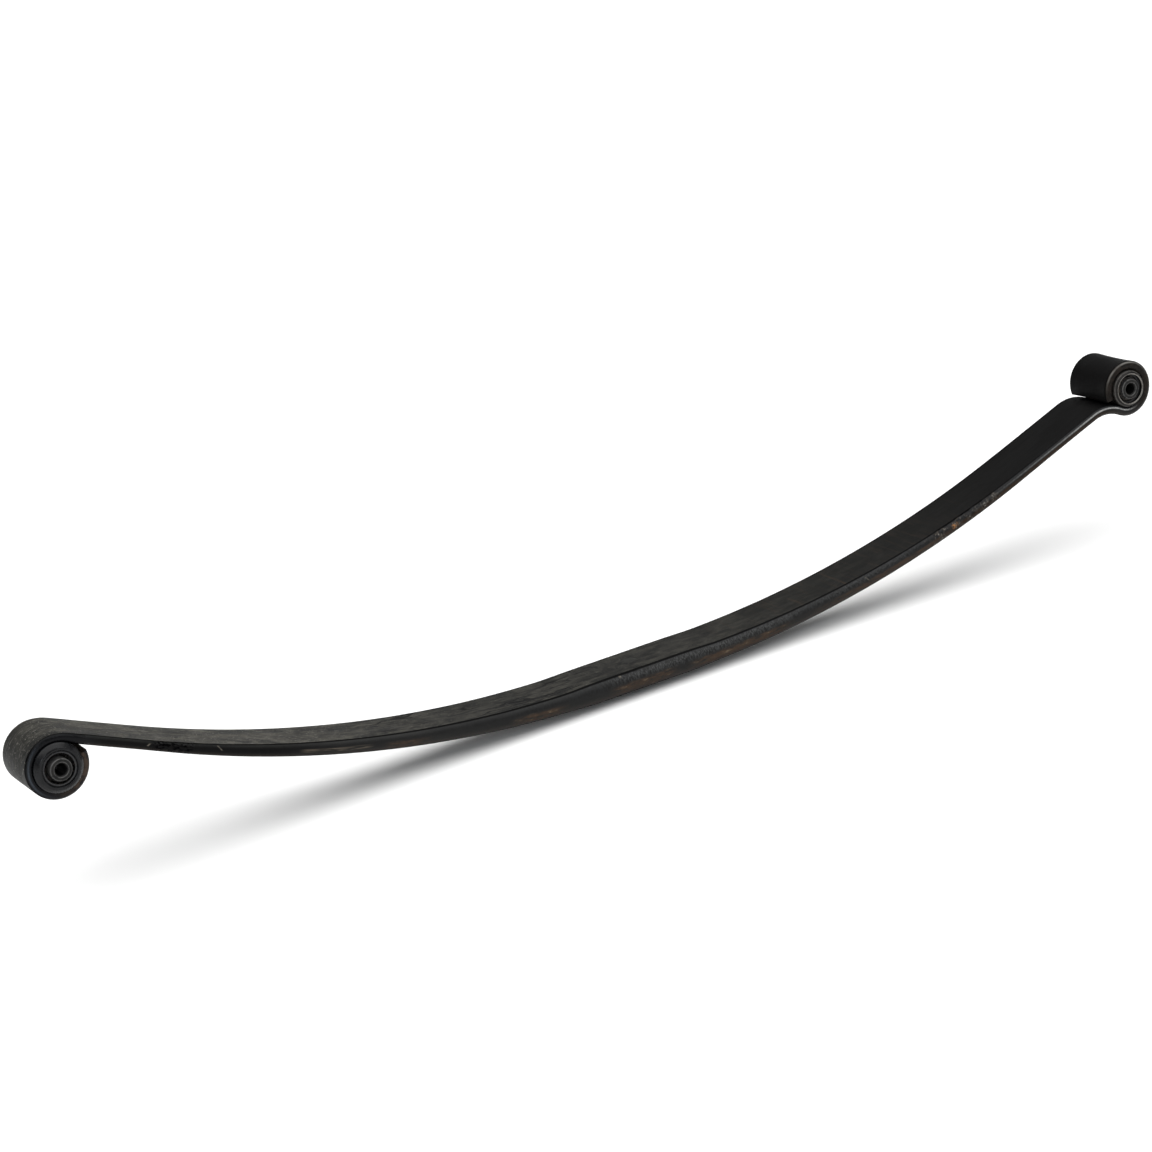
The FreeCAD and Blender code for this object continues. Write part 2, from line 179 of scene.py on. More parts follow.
def bar_mesh(front, rear):
    """Skin the bar's outline along both arms as one closed mesh."""
    # one run of stations from the front eye's tip to the rear eye's tip;
    # the front arm's tangents are turned to point rearwards like the rest
    run = []
    for at, tangent, thick, walked in reversed(front.stations):
        run.append((Vector((-at.x, at.y)), Vector((tangent.x, -tangent.y)), thick, -walked))
    run.append((Vector((0.0, SEAT_THICK / 2.0)), Vector((1.0, 0.0)), SEAT_THICK, 0.0))
    run += rear.stations
    mesh = bmesh.new()
    place = mesh.verts.layers.float_vector.new("along_across_up")
    rings = []
    for at, tangent, thick, walked in run:
        normal = Vector((-tangent.y, tangent.x))
        ring = []
        for across, height in bar_outline(thick):
            point = at + height * normal
            vert = mesh.verts.new((point.x, across, point.y))
            vert[place] = (walked, across, height / thick)
            ring.append(vert)
        rings.append(ring)
    count = len(rings[0])
    for low, high in zip(rings, rings[1:]):
        for i in range(count):
            after = (i + 1) % count
            mesh.faces.new((low[i], low[after], high[after], high[i]))
    mesh.faces.new(reversed(rings[0]))
    mesh.faces.new(rings[-1])
    bmesh.ops.recalc_face_normals(mesh, faces=mesh.faces)
    return mesh


def add_object(name, mesh, material):
    data = bpy.data.meshes.new(name)
    mesh.to_mesh(data)
    mesh.free()
    data.materials.append(material)
    piece = bpy.data.objects.new(name, data)
    bpy.context.scene.collection.objects.link(piece)
    data.shade_smooth()
    return piece


def smooth_by_angle(piece, limit):
    """Keep edges sharper than the limit crisp, the rest smooth."""
    mesh = bmesh.new()
    mesh.from_mesh(piece.data)
    for edge in mesh.edges:
        edge.smooth = len(edge.link_faces) == 2 and edge.calc_face_angle(0.0) < limit
    mesh.to_mesh(piece.data)
    mesh.free()


# ------------------------------------------------------------- surface wear
SCALE_DEPTH = 0.00012           # how deep the forge scale pits the surface
EYE_WAIST = 0.0007              # the rear eye is drawn in this much mid-width,
EYE_WAIST_FROM = 0.745          # from this far along the leaf,
EYE_WAIST_HALF = 0.031          # and this far to each side
FLAT_LEVEL = 0.499              # height over thickness where the flat faces begin
EDGE_LEVEL = 0.44               # and where the rounded edges end
# stretches of the near edge that are nicked: from, to, depth
NICKED = (
    (0.370, 0.482, 0.0013),
    (-0.076, 0.044, 0.0006),
    (-0.575, -0.500, 0.0007),
)


def dented(data):
    """Press the surface in a little: scale all over, nicks, the rear eye's waist.

    Every move is inwards, so the leaf never grows.
    """
    place = data.attributes["along_across_up"].data
    normals = [v.normal.copy() for v in data.vertices]
    for vertex, normal, spot in zip(data.vertices, normals, place):
        along, across, up = spot.vector
        where = Vector((along * 55.0, across * 90.0, up * 1.6))
        depth = SCALE_DEPTH * (0.5 + 0.5 * noise.noise(where))
        if across < 0.0 and abs(up) < FLAT_LEVEL:
            for low, high, deep in NICKED:
                if low < along < high:
                    fade = math.sin(math.pi * (along - low) / (high - low))
                    grain = noise.noise(Vector((along * 210.0, 3.0 + up * 4.0, deep * 999.0)))
                    high_up = max(0.0, min(1.0, (up + 0.1) / 0.4))
                    depth += deep * fade * high_up * max(0.0, grain + 0.15) * 1.6
        if along > EYE_WAIST_FROM:
            depth += EYE_WAIST * max(0.0, 1.0 - (across / EYE_WAIST_HALF) ** 2)
        vertex.co -= normal * depth


def cut_dowel_hole(piece):
    """Drill the leaf's hole for the dowel, and give the new points a place."""
    cutter_mesh = bmesh.new()
    bmesh.ops.create_cone(cutter_mesh, cap_ends=True, segments=DOWEL_SEGMENTS,
                          radius1=DOWEL_RADIUS, radius2=DOWEL_RADIUS, depth=4.0 * SEAT_THICK)
    cutter_data = bpy.data.meshes.new("drill")
    cutter_mesh.to_mesh(cutter_data)
    cutter_mesh.free()
    cutter = bpy.data.objects.new("drill", cutter_data)
    bpy.context.scene.collection.objects.link(cutter)
    drill = piece.modifiers.new("drill", "BOOLEAN")
    drill.operation = "DIFFERENCE"
    drill.solver = "EXACT"
    drill.object = cutter
    graph = bpy.context.evaluated_depsgraph_get()
    drilled = bpy.data.meshes.new_from_object(piece.evaluated_get(graph))
    piece.modifiers.remove(drill)
    piece.data = drilled
    bpy.data.objects.remove(cutter)
    place = drilled.attributes["along_across_up"].data
    for vertex in drilled.vertices:
        x, y, z = vertex.co
        if math.hypot(x, y) < DOWEL_RADIUS + 0.0001 and -0.001 < z < SEAT_THICK + 0.001:
            place[vertex.index].vector = (x, y, z / SEAT_THICK - 0.5)


def paint_edges(data):
    """Give the rounded edges and the scroll ends the glossier paint."""
    place = data.attributes["along_across_up"].data
    for face in data.polygons:
        levels = [abs(place[i].vector.z) for i in face.vertices]
        face.material_index = 1 if min(levels) < EDGE_LEVEL else 0


# ---------------------------------------------------------- turned pieces
def softened(corners):
    """Round each (radius, along, softness) corner with a short curve."""
    points = []
    count = len(corners)
    for i in range(count):
        here = Vector(corners[i][:2])
        before = Vector(corners[i - 1][:2]) - here
        after = Vector(corners[(i + 1) % count][:2]) - here
        soft = corners[i][2]
        if soft <= 0.0:
            points.append(here)
            continue
        start = here + before.normalized() * min(soft, before.length * 0.45)
        end = here + after.normalized() * min(soft, after.length * 0.45)
        for step in range(6):
            t = step / 5.0
            points.append((1 - t) ** 2 * start + 2 * t * (1 - t) * here + t ** 2 * end)
    return points


def turned(name, centre, half_corners, material):
    """Body of revolution about Y, the same at both ends.

    half_corners run from the bore outwards at the +Y end, in metres, as
    (radius, distance from the middle, softness).
    """
    far = [(r, -a, soft) for r, a, soft in reversed(half_corners)]
    outline = softened(half_corners + far)
    mesh = bmesh.new()
    rings = []
    for i in range(TURNED_SEGMENTS):
        angle = 2.0 * math.pi * i / TURNED_SEGMENTS
        c, s = math.cos(angle), math.sin(angle)
        rings.append([mesh.verts.new((centre.x + p.x * c, p.y, centre.y + p.x * s))
                      for p in outline])
    for i, ring in enumerate(rings):
        after = rings[(i + 1) % TURNED_SEGMENTS]
        for j in range(len(outline)):
            k = (j + 1) % len(outline)
            mesh.faces.new((ring[j], ring[k], after[k], after[j]))
    bmesh.ops.recalc_face_normals(mesh, faces=mesh.faces)
    piece = add_object(name, mesh, material)
    smooth_by_angle(piece, TURNED_CREASE)
    return piece


# --------------------------------------------------------------- materials
class Surface:
    """One procedural material, built from noise, masks and colour blends."""

    def __init__(self, name, specular=0.5):
        self.material = bpy.data.materials.new(name)
        self.material.use_nodes = True
        self.tree = self.material.node_tree
        self.shader = self.tree.nodes["Principled BSDF"]
        self.shader.inputs["Specular IOR Level"].default_value = specular

    def put(self, socket, value):
        if isinstance(value, bpy.types.NodeSocket):
            self.tree.links.new(value, socket)
        elif isinstance(value, tuple) and len(value) == 3 and len(socket.default_value) == 4:
            socket.default_value = (*value, 1.0)
        else:
            socket.default_value = value

    def node(self, kind, inputs, output=0, **settings):
        made = self.tree.nodes.new("ShaderNode" + kind)
        for key, value in settings.items():
            setattr(made, key, value)
        for key, value in inputs.items():
            self.put(made.inputs[key], value)
        return made.outputs[output]

    def math(self, operation, first, second=0.0):
        return self.node("Math", {0: first, 1: second}, operation=operation)

    def times(self, *factors):
        total = factors[0]
        for factor in factors[1:]:
            total = self.math("MULTIPLY", total, factor)
        return total

    def most(self, *values):
        best = values[0]
        for value in values[1:]:
            best = self.math("MAXIMUM", best, value)
        return best

    def rise(self, value, low, high):
        """0 below low, 1 above high, and smooth in between."""
        return self.node("MapRange", {"Value": value, "From Min": low, "From Max": high},
                         interpolation_type="SMOOTHSTEP")

    def within(self, value, low, high, soft):
        return self.times(self.rise(value, low - soft, low + soft),
                          self.rise(value, high + soft, high - soft))

    def stretched(self, vector, x, y, z):
        return self.node("VectorMath", {0: vector, 1: (x, y, z)}, operation="MULTIPLY")

    def noise(self, vector, scale, detail=3.0, rough=0.55, twist=0.0):
        return self.node("TexNoise", {"Vector": vector, "Scale": scale, "Detail": detail,
                                      "Roughness": rough, "Distortion": twist})

    def cracks(self, vector, scale):
        return self.node("TexVoronoi", {"Vector": vector, "Scale": scale},
                         feature="DISTANCE_TO_EDGE")

    def blend(self, factor, under, over):
        made = self.tree.nodes.new("ShaderNodeMix")
        made.data_type = "RGBA"
        self.put(made.inputs[0], factor)
        self.put(made.inputs[6], under)
        self.put(made.inputs[7], over)
        return made.outputs[2]

    def mix(self, factor, under, over):
        return self.node("Mix", {0: factor, 2: under, 3: over}, data_type="FLOAT")

    def parts(self, vector):
        made = self.tree.nodes.new("ShaderNodeSeparateXYZ")
        self.put(made.inputs[0], vector)
        return made.outputs[0], made.outputs[1], made.outputs[2]

    def finish(self, colour, rough, height=None, depth=0.0, metal=0.0):
        self.put(self.shader.inputs["Base Color"], colour)
        self.put(self.shader.inputs["Roughness"], rough)
        self.put(self.shader.inputs["Metallic"], metal)
        if height is not None:
            bump = self.node("Bump", {"Height": height, "Distance": depth, "Strength": 1.0})
            self.put(self.shader.inputs["Normal"], bump)
        return self.material


# colours of the leaf's paint, dirt and wear, and of its painted shade and highlights
BLACK = (0.0050, 0.0050, 0.0047)
GREY_BLACK = (0.0135, 0.0135, 0.0122)
DEEP_BLACK = (0.0016, 0.0015, 0.0015)
DUST = (0.085, 0.081, 0.069)
TAN = (0.17, 0.135, 0.090)
RUST = (0.040, 0.025, 0.016)
ORANGE = (0.22, 0.105, 0.04)
SCALE_GREY = (0.030, 0.032, 0.036)
BARE_STEEL_AND_HIGHLIGHT = (0.46, 0.46, 0.45)
JET = (0.0012, 0.0012, 0.0014)
STREAK = (0.042, 0.042, 0.037)
SCUFF = (0.17, 0.162, 0.145)
WRAPPED_SHADE = (0.0065, 0.0070, 0.0065)
SPECK = (0.22, 0.21, 0.185)
WIPE = (0.036, 0.026, 0.018)
WORN_SCALE = (0.098, 0.099, 0.098)
BROWN_BLACK = (0.0095, 0.0072, 0.0056)
STAIN = (0.022, 0.017, 0.013)
SCRAPED = (0.115, 0.095, 0.072)
SCRATCH = (0.15, 0.135, 0.11)
CHIP = (0.040, 0.034, 0.028)
BRIGHT_CHIP = (0.17, 0.16, 0.145)
EYE_BLACK = (0.0035, 0.0038, 0.0046)
PAINTED_BLUE_HIGHLIGHT = (0.055, 0.066, 0.080)
SCROLL_RUST = (0.044, 0.030, 0.021)
REAR_EYE_BLACK = (0.0075, 0.0062, 0.0052)
REAR_EYE_DIRT = (0.034, 0.026, 0.020)
RUBBED_RIM = (0.19, 0.182, 0.17)
CORNER_SHADE = (0.002, 0.002, 0.002)
CRACK_AND_BORE_SHADE = (0.003, 0.003, 0.003)
# specular level of the leaf's paint
SHEEN_ON_FLATS, SHEEN_ON_EDGES = 0.045, 0.16
# marks across the near edge: place along the leaf, slant, half width, low, high, strength
SCRATCHES = (
    (-0.4850, 0.014, 0.0013, 0.00, 0.36, 0.55),
    (-0.5640, -0.010, 0.0016, -0.04, 0.22, 0.75),
    (-0.0270, 0.004, 0.0020, 0.36, 0.44, 0.70),
    (0.2900, 0.010, 0.0010, 0.05, 0.34, 0.40),
)


def leaf_paint(name, specular):
    """The leaf's paint and wear, with painted shade and highlights, placed by distance along,
    across and up the bar.
    """
    skin = Surface(name, specular)
    where = skin.node("Attribute", {}, output=1, attribute_name="along_across_up")
    along, across, up = skin.parts(where)
    level = skin.math("ABSOLUTE", up)
    flat = skin.rise(level, 0.490, 0.4995)
    side = skin.rise(level, 0.499, 0.485)
    near = skin.rise(across, 0.0, -0.001)
    spot = skin.stretched(where, 1.0, 1.0, MEAN_THICK)      # all three in metres

    # paint: black, greyer in soft blotches that run along the bar
    blotch = skin.noise(skin.stretched(spot, 14.0, 40.0, 90.0), 1.0, 5.0, 0.6)
    streak = skin.noise(skin.stretched(spot, 30.0, 900.0, 900.0), 1.0, 3.0, 0.6)
    grain = skin.noise(skin.stretched(spot, 700.0, 1100.0, 1100.0), 1.0, 3.0, 0.65)
    middle = skin.rise(along, 0.42, -0.30)
    tone = skin.times(skin.rise(blotch, 0.30, 0.72), skin.mix(middle, 0.35, 1.0))
    colour = skin.blend(tone, BLACK, GREY_BLACK)
    colour = skin.blend(skin.rise(along, 0.22, 0.56), colour, DEEP_BLACK)
    colour = skin.blend(skin.times(skin.rise(streak, 0.50, 0.75), 0.5, flat, middle),
                        colour, STREAK)

    # dust and swirling scuffs, most of all on the front arm and its eye
    front = skin.rise(along, -0.16, -0.50)
    swirl = skin.noise(skin.stretched(spot, 26.0, 60.0, 60.0), 1.0, 6.0, 0.62, 1.6)
    rub = skin.noise(skin.stretched(spot, 90.0, 240.0, 240.0), 1.0, 5.0, 0.7, 0.6)
    # the dust thins out on the left and lower side of the front eye, as part of its painted
    # shade
    dust = skin.times(skin.rise(swirl, 0.38, 0.62), skin.mix(front, 0.42, 1.0), flat,
                      skin.mix(skin.rise(along, -0.635, -0.695), 1.0, 0.22))
    dust = skin.times(dust, skin.mix(skin.rise(rub, 0.38, 0.62), 0.35, 1.0))
    dust = skin.times(dust, skin.rise(along, 0.48, -0.12))
    colour = skin.blend(dust, colour, DUST)
    scuff = skin.times(skin.rise(skin.noise(skin.stretched(spot, 60.0, 300.0, 300.0), 1.0,
                                            4.0, 0.7, 2.2), 0.54, 0.70), front, flat)
    colour = skin.blend(skin.times(scuff, 0.8), colour, SCUFF)
    # painted shade: the front eye is darker on its left and lower side
    wrapped_shade = skin.times(flat, skin.rise(along, -0.668, -0.715))
    colour = skin.blend(skin.times(wrapped_shade, 0.62), colour, WRAPPED_SHADE)
    specks = skin.times(skin.rise(skin.noise(spot, 520.0, 2.0, 0.5), 0.66, 0.72),
                        skin.mix(front, 0.30, 0.9), skin.rise(along, 0.20, -0.05), flat)
    colour = skin.blend(specks, colour, SPECK)

    # long thin cracks in the paint on the way to the seat
    crack_zone = skin.times(skin.within(along, -0.34, -0.03, 0.05), flat)
    wander = skin.node("VectorMath", {0: skin.stretched(spot, 11.0, 120.0, 120.0),
                                      1: skin.node("TexNoise", {"Vector": spot, "Scale": 38.0},
                                                   output=1)}, operation="ADD")
    crack = skin.times(skin.rise(skin.cracks(wander, 0.8), 0.060, 0.022), crack_zone,
                       skin.rise(skin.noise(spot, 24.0), 0.40, 0.55))
    colour = skin.blend(skin.times(crack, 0.9), colour, CRACK_AND_BORE_SHADE)

    # faint brown wipes across the rear half
    wipes = skin.noise(skin.stretched(spot, 210.0, 9.0, 9.0), 1.0, 4.0, 0.7, 0.4)
    wipes = skin.times(skin.rise(wipes, 0.50, 0.74), skin.within(along, 0.12, 0.40, 0.08), flat)
    colour = skin.blend(skin.times(wipes, 0.7), colour, WIPE)

    # the rounded edge: smooth dark scale, silvery where the forge scale is bare
    fine = skin.noise(skin.stretched(spot, 1000.0, 330.0, 420.0), 1.0, 4.0, 0.7, 0.3)
    upper = skin.rise(up, -0.12, 0.16)
    edge_tone = skin.mix(skin.rise(along, -0.20, 0.05), 0.35, 1.0)
    scale = skin.times(side, upper, skin.rise(fine, 0.36, 0.70), edge_tone)
    colour = skin.blend(skin.times(scale, 0.55), colour, SCALE_GREY)
    worn_zone = skin.most(skin.within(along, -0.035, 0.195, 0.03),
                          skin.times(skin.within(along, 0.215, 0.350, 0.03), 0.6))
    worn = skin.times(side, skin.within(up, 0.05, 0.36, 0.10), worn_zone,
                      skin.rise(fine, 0.44, 0.62))
    colour = skin.blend(skin.times(worn, 0.62), colour, WORN_SCALE)

    # painted shade: the edge darkens downwards, most on the front arm; brown on the rear arm
    shade = skin.mix(skin.rise(along, -0.22, -0.36), 0.6, 0.95)
    colour = skin.blend(skin.times(side, skin.rise(up, 0.46, 0.06), shade), colour, DEEP_BLACK)
    low_rear = skin.times(side, skin.rise(up, 0.12, -0.08), skin.rise(along, 0.36, 0.44),
                          skin.rise(along, 0.665, 0.640))
    colour = skin.blend(skin.times(low_rear, 0.9), colour, BROWN_BLACK)
    dull_front = skin.times(side, skin.rise(along, -0.34, -0.44), skin.rise(along, -0.66, -0.60))

    # rust along the lower half of the edge, in patches
    patchy = skin.noise(skin.stretched(spot, 75.0, 150.0, 480.0), 1.0, 5.0, 0.75, 0.3)
    rust_zone = skin.most(
        skin.times(skin.within(along, -0.300, -0.262, 0.012), 0.8),
        skin.times(skin.within(along, -0.152, -0.104, 0.015), 1.0),
        skin.times(skin.within(along, -0.036, 0.034, 0.012), 0.9),
        skin.times(skin.within(along, 0.065, 0.175, 0.020), 1.25),
        skin.times(skin.within(along, 0.240, 0.630, 0.060), 0.90))
    rust = skin.times(side, rust_zone, skin.within(up, -0.40, 0.02, 0.10))
    brown = skin.times(rust, skin.rise(patchy, 0.34, 0.58))
    colour = skin.blend(brown, colour, RUST)
    bright_rust = skin.times(rust, skin.rise(patchy, 0.56, 0.70),
                             skin.rise(along, 0.24, 0.20))
    colour = skin.blend(skin.times(bright_rust, 0.6), colour, TAN)
    stain = skin.times(side, skin.rise(up, -0.10, -0.42), 0.55)
    colour = skin.blend(stain, colour, STAIN)

    # a scraped strip low on the near edge of the front arm
    strip_noise = skin.noise(skin.stretched(spot, 34.0, 200.0, 900.0), 1.0, 4.0, 0.6, 0.3)
    strip = skin.times(near, side, skin.within(along, -0.397, -0.323, 0.006),
                       skin.within(up, -0.20, 0.04, 0.05), skin.rise(strip_noise, 0.38, 0.66))
    colour = skin.blend(skin.times(strip, 0.75), colour, SCRAPED)

    # glossy black runs near the front eye, and short scratches
    runs_noise = skin.noise(skin.stretched(spot, 260.0, 120.0, 500.0), 1.0, 3.0, 0.6, 0.8)
    runs = skin.times(near, side, skin.within(along, -0.560, -0.514, 0.008),
                      skin.rise(runs_noise, 0.46, 0.54))
    colour = skin.blend(runs, colour, JET)
    chip_noise = skin.noise(spot, 420.0, 3.0, 0.6)
    for start, slant, half, low, high, strength in SCRATCHES:
        line = skin.math("ADD", skin.math("SUBTRACT", along, start), skin.times(up, slant))
        mark = skin.times(near, side, skin.within(up, low, high, 0.05), strength,
                          skin.rise(skin.math("ABSOLUTE", line), half, 0.3 * half),
                          skin.mix(skin.rise(chip_noise, 0.35, 0.55), 0.4, 1.0))
        colour = skin.blend(mark, colour, SCRATCH)

    # chipped stretch of the rear arm, with one orange spot
    chips = skin.times(near, side, skin.within(along, 0.374, 0.478, 0.012),
                       skin.rise(skin.noise(skin.stretched(spot, 240.0, 330.0, 140.0), 1.0,
                                            4.0, 0.7, 0.5), 0.46, 0.60),
                       skin.mix(skin.rise(skin.noise(spot, 60.0, 2.0), 0.40, 0.55), 0.25, 1.0))
    colour = skin.blend(chips, colour, CHIP)
    bright = skin.times(chips, skin.rise(skin.noise(spot, 520.0, 2.0), 0.56, 0.64))
    colour = skin.blend(bright, colour, BRIGHT_CHIP)
    orange = skin.times(near, side, skin.within(along, 0.409, 0.416, 0.002),
                        skin.within(up, -0.12, 0.22, 0.06), skin.rise(chip_noise, 0.40, 0.50))
    colour = skin.blend(orange, colour, ORANGE)

    # worn bright line on the edge from the rear arm through its neck, partly bare steel and
    # partly a painted highlight
    polish_and_highlight = skin.times(side, skin.within(up, 0.14, 0.26, 0.07),
                        skin.rise(along, 0.42, 0.64),
                        skin.rise(along, 0.700, 0.668),
                        skin.mix(skin.rise(fine, 0.40, 0.62), 0.45, 1.0))
    colour = skin.blend(skin.times(polish_and_highlight, skin.mix(skin.rise(along, 0.57, 0.64), 0.45, 0.95)),
                        colour, BARE_STEEL_AND_HIGHLIGHT)

    # side faces of the two eyes
    front_face = skin.times(side, skin.rise(along, -0.61, -0.64))
    colour = skin.blend(skin.times(front_face, 0.95), colour, EYE_BLACK)
    # painted highlight: a bluish crescent on the front eye's side face
    blue_highlight = skin.times(front_face, skin.within(along, -0.728, -0.690, 0.022),
                       skin.within(up, 0.14, 0.26, 0.12),
                       skin.mix(skin.rise(fine, 0.30, 0.60), 0.75, 1.0))
    colour = skin.blend(skin.times(blue_highlight, 0.8), colour, PAINTED_BLUE_HIGHLIGHT)
    front_rust = skin.times(side, skin.rise(along, -0.735, -0.775),
                            skin.rise(skin.noise(spot, 90.0, 4.0, 0.6), 0.36, 0.56))
    colour = skin.blend(skin.times(front_rust, 0.8), colour, SCROLL_RUST)
    rear_face = skin.times(side, skin.rise(along, 0.672, 0.700))
    colour = skin.blend(skin.times(rear_face, 0.85), colour, REAR_EYE_BLACK)
    rear_dirt = skin.times(rear_face,
                           skin.rise(skin.noise(spot, 120.0, 5.0, 0.7, 0.8), 0.44, 0.66))
    colour = skin.blend(skin.times(rear_dirt, 0.6), colour, REAR_EYE_DIRT)
    rear_rim = skin.times(side, skin.within(along, 0.740, 0.790, 0.018),
                          skin.within(up, -0.40, -0.26, 0.08),
                          skin.mix(skin.rise(skin.noise(spot, 70.0, 3.0, 0.6), 0.35, 0.65),
                                   0.4, 1.0))
    colour = skin.blend(skin.times(rear_rim, 0.8), colour, RUBBED_RIM)

    # painted shade: a crisp dark line where the flat face turns into the edge
    corner = skin.times(skin.rise(level, 0.415, 0.440), skin.rise(level, 0.4999, 0.4985))
    colour = skin.blend(skin.times(corner, 0.92), colour, CORNER_SHADE)

    rough = skin.mix(skin.rise(blotch, 0.3, 0.7), 0.46, 0.60)
    rough = skin.mix(dust, rough, 0.74)
    rough = skin.mix(skin.times(side, 0.9), rough, skin.mix(fine, 0.30, 0.50))
    rough = skin.mix(skin.most(brown, strip, rear_dirt), rough, 0.78)
    rough = skin.mix(skin.most(runs, front_face), rough, 0.22)
    rough = skin.mix(polish_and_highlight, rough, 0.30)

    height = skin.math("ADD", skin.times(grain, 0.25), skin.times(blotch, 0.8))
    height = skin.math("ADD", height, skin.times(streak, 0.35, flat))
    height = skin.math("ADD", height, skin.times(fine, side, 0.5))
    height = skin.math("SUBTRACT", height, skin.times(crack, 0.9))
    height = skin.math("SUBTRACT", height, skin.times(chips, 1.2))
    height = skin.math("SUBTRACT", height, skin.times(brown, 0.4))
    # bare steel, and dull dark places that would else shine like wet paint
    metal = skin.most(skin.times(polish_and_highlight, 0.5), skin.times(worn, 0.3), runs,
                      skin.times(corner, 0.9), skin.times(wrapped_shade, 0.5),
                      skin.times(low_rear, 0.85), skin.times(dull_front, 0.6),
                      skin.times(rear_face, 0.6), skin.times(front_face, 0.5))
    return skin.finish(colour, rough, height, 0.00035, metal)


def away_from(surface, centre):
    """Position in metres and distance from an eye's axis."""
    place = surface.node("TexCoord", {}, output=3)
    offset = surface.node("VectorMath", {0: place, 1: (centre.x, 0.0, centre.y)},
                          operation="SUBTRACT")
    flat = surface.stretched(offset, 1.0, 0.0, 1.0)
    made = surface.tree.nodes.new("ShaderNodeVectorMath")
    made.operation = "LENGTH"
    surface.put(made.inputs[0], flat)
    return offset, made.outputs[1]


def rubber(name, centre, gloss, dusty):
    skin = Surface(name, specular=0.20)
    place, radius = away_from(skin, centre)
    mottle = skin.noise(place, 140.0, 4.0, 0.6)
    fine = skin.noise(place, 1500.0, 3.0, 0.6)
    colour = skin.blend(skin.rise(mottle, 0.35, 0.70), (0.0016, 0.0018, 0.0023),
                        (0.0052, 0.0056, 0.0066))
    # brown dust lies in the recess round the sleeve
    dust = skin.times(skin.rise(skin.noise(place, 260.0, 5.0, 0.7, 0.7), 0.42, 0.66),
                      skin.rise(radius, 0.0185, 0.0150), dusty)
    colour = skin.blend(dust, colour, (0.060, 0.050, 0.040))
    # painted highlight: a thin lighter ring along the rubber's crest
    crest_highlight = skin.within(radius, 0.0157, 0.0170, 0.0003)
    colour = skin.blend(skin.times(crest_highlight, 0.7), colour, (0.042, 0.042, 0.044))
    rough = skin.mix(skin.rise(mottle, 0.3, 0.7), gloss, gloss + 0.16)
    rough = skin.mix(dust, rough, 0.8)
    height = skin.math("ADD", mottle, skin.times(fine, 0.35))
    return skin.finish(colour, rough, height, 0.00025)


def shell_steel(name, centre, wall_inside):
    skin = Surface(name, specular=0.14)
    place, radius = away_from(skin, centre)
    mottle = skin.noise(place, 230.0, 5.0, 0.7, 0.5)
    turned_marks = skin.noise(skin.stretched(place, 60.0, 1600.0, 60.0), 1.0, 2.0, 0.5)
    paint = skin.blend(skin.rise(mottle, 0.35, 0.65), (0.004, 0.0038, 0.0036),
                       (0.016, 0.014, 0.0125))
    shiny = skin.rise(radius, wall_inside - 0.0004, wall_inside - 0.0010)
    bare = skin.blend(skin.rise(mottle, 0.45, 0.75), (0.17, 0.162, 0.15), (0.035, 0.028, 0.022))
    rim = skin.within(radius, wall_inside + 0.0012, wall_inside + 0.0020, 0.0004)
    rim = skin.times(rim, skin.mix(skin.rise(mottle, 0.35, 0.60), 0.4, 1.0))
    colour = skin.blend(shiny, paint, bare)
    colour = skin.blend(skin.times(rim, 0.8), colour, (0.090, 0.086, 0.080))
    rough = skin.mix(shiny, skin.mix(mottle, 0.35, 0.65), skin.mix(mottle, 0.15, 0.45))
    height = skin.math("ADD", skin.times(mottle, 0.8), skin.times(turned_marks, 0.25))
    return skin.finish(colour, rough, height, 0.0002, skin.times(shiny, 0.9))


def sleeve_steel(name, centre):
    skin = Surface(name, specular=0.12)
    place, radius = away_from(skin, centre)
    mottle = skin.noise(place, 320.0, 5.0, 0.65)
    rings = skin.noise(skin.node("CombineXYZ", {0: radius}), 2600.0, 2.0, 0.5)
    colour = skin.blend(skin.rise(mottle, 0.35, 0.70), (0.0050, 0.0050, 0.0050),
                        (0.016, 0.0150, 0.0135))
    # painted highlights: thin light rings on the sleeve's outer rim and round its bore
    rim_highlights = skin.most(skin.within(radius, SLEEVE_RADIUS - 0.0009, SLEEVE_RADIUS, 0.0002),
                     skin.within(radius, SLEEVE_BORE + 0.0012, SLEEVE_BORE + 0.0019, 0.0002))
    colour = skin.blend(skin.times(rim_highlights, skin.rise(mottle, 0.25, 0.50), 0.8), colour,
                        (0.095, 0.094, 0.092))
    # painted shade: the wall of the bore is dark
    inside = skin.rise(radius, SLEEVE_BORE + 0.0004, SLEEVE_BORE)
    colour = skin.blend(skin.times(inside, 0.9), colour, CRACK_AND_BORE_SHADE)
    height = skin.math("ADD", skin.times(mottle, 0.6), skin.times(rings, 0.35))
    return skin.finish(colour, skin.mix(mottle, 0.32, 0.62), height, 0.0002,
                       skin.times(rim_highlights, 0.5))


def dowel_paint():
    skin = Surface("dowel_painted_over", specular=0.045)
    place = skin.node("TexCoord", {}, output=3)
    blotch = skin.noise(skin.stretched(place, 60.0, 120.0, 120.0), 1.0, 5.0, 0.6)
    grain = skin.noise(place, 1100.0, 3.0, 0.6)
    colour = skin.blend(skin.rise(blotch, 0.30, 0.72), (0.012, 0.012, 0.011),
                        (0.030, 0.030, 0.027))
    height = skin.math("ADD", skin.times(grain, 0.3), blotch)
    return skin.finish(colour, skin.mix(blotch, 0.45, 0.62), height, 0.0003)


def floor_paper():
    skin = Surface("studio_paper", specular=0.1)
    place = skin.node("TexCoord", {}, output=3)
    fibre = skin.noise(place, 900.0, 3.0, 0.6)
    colour = skin.blend(fibre, (0.88, 0.88, 0.875), (0.90, 0.90, 0.895))
    return skin.finish(colour, 0.85)


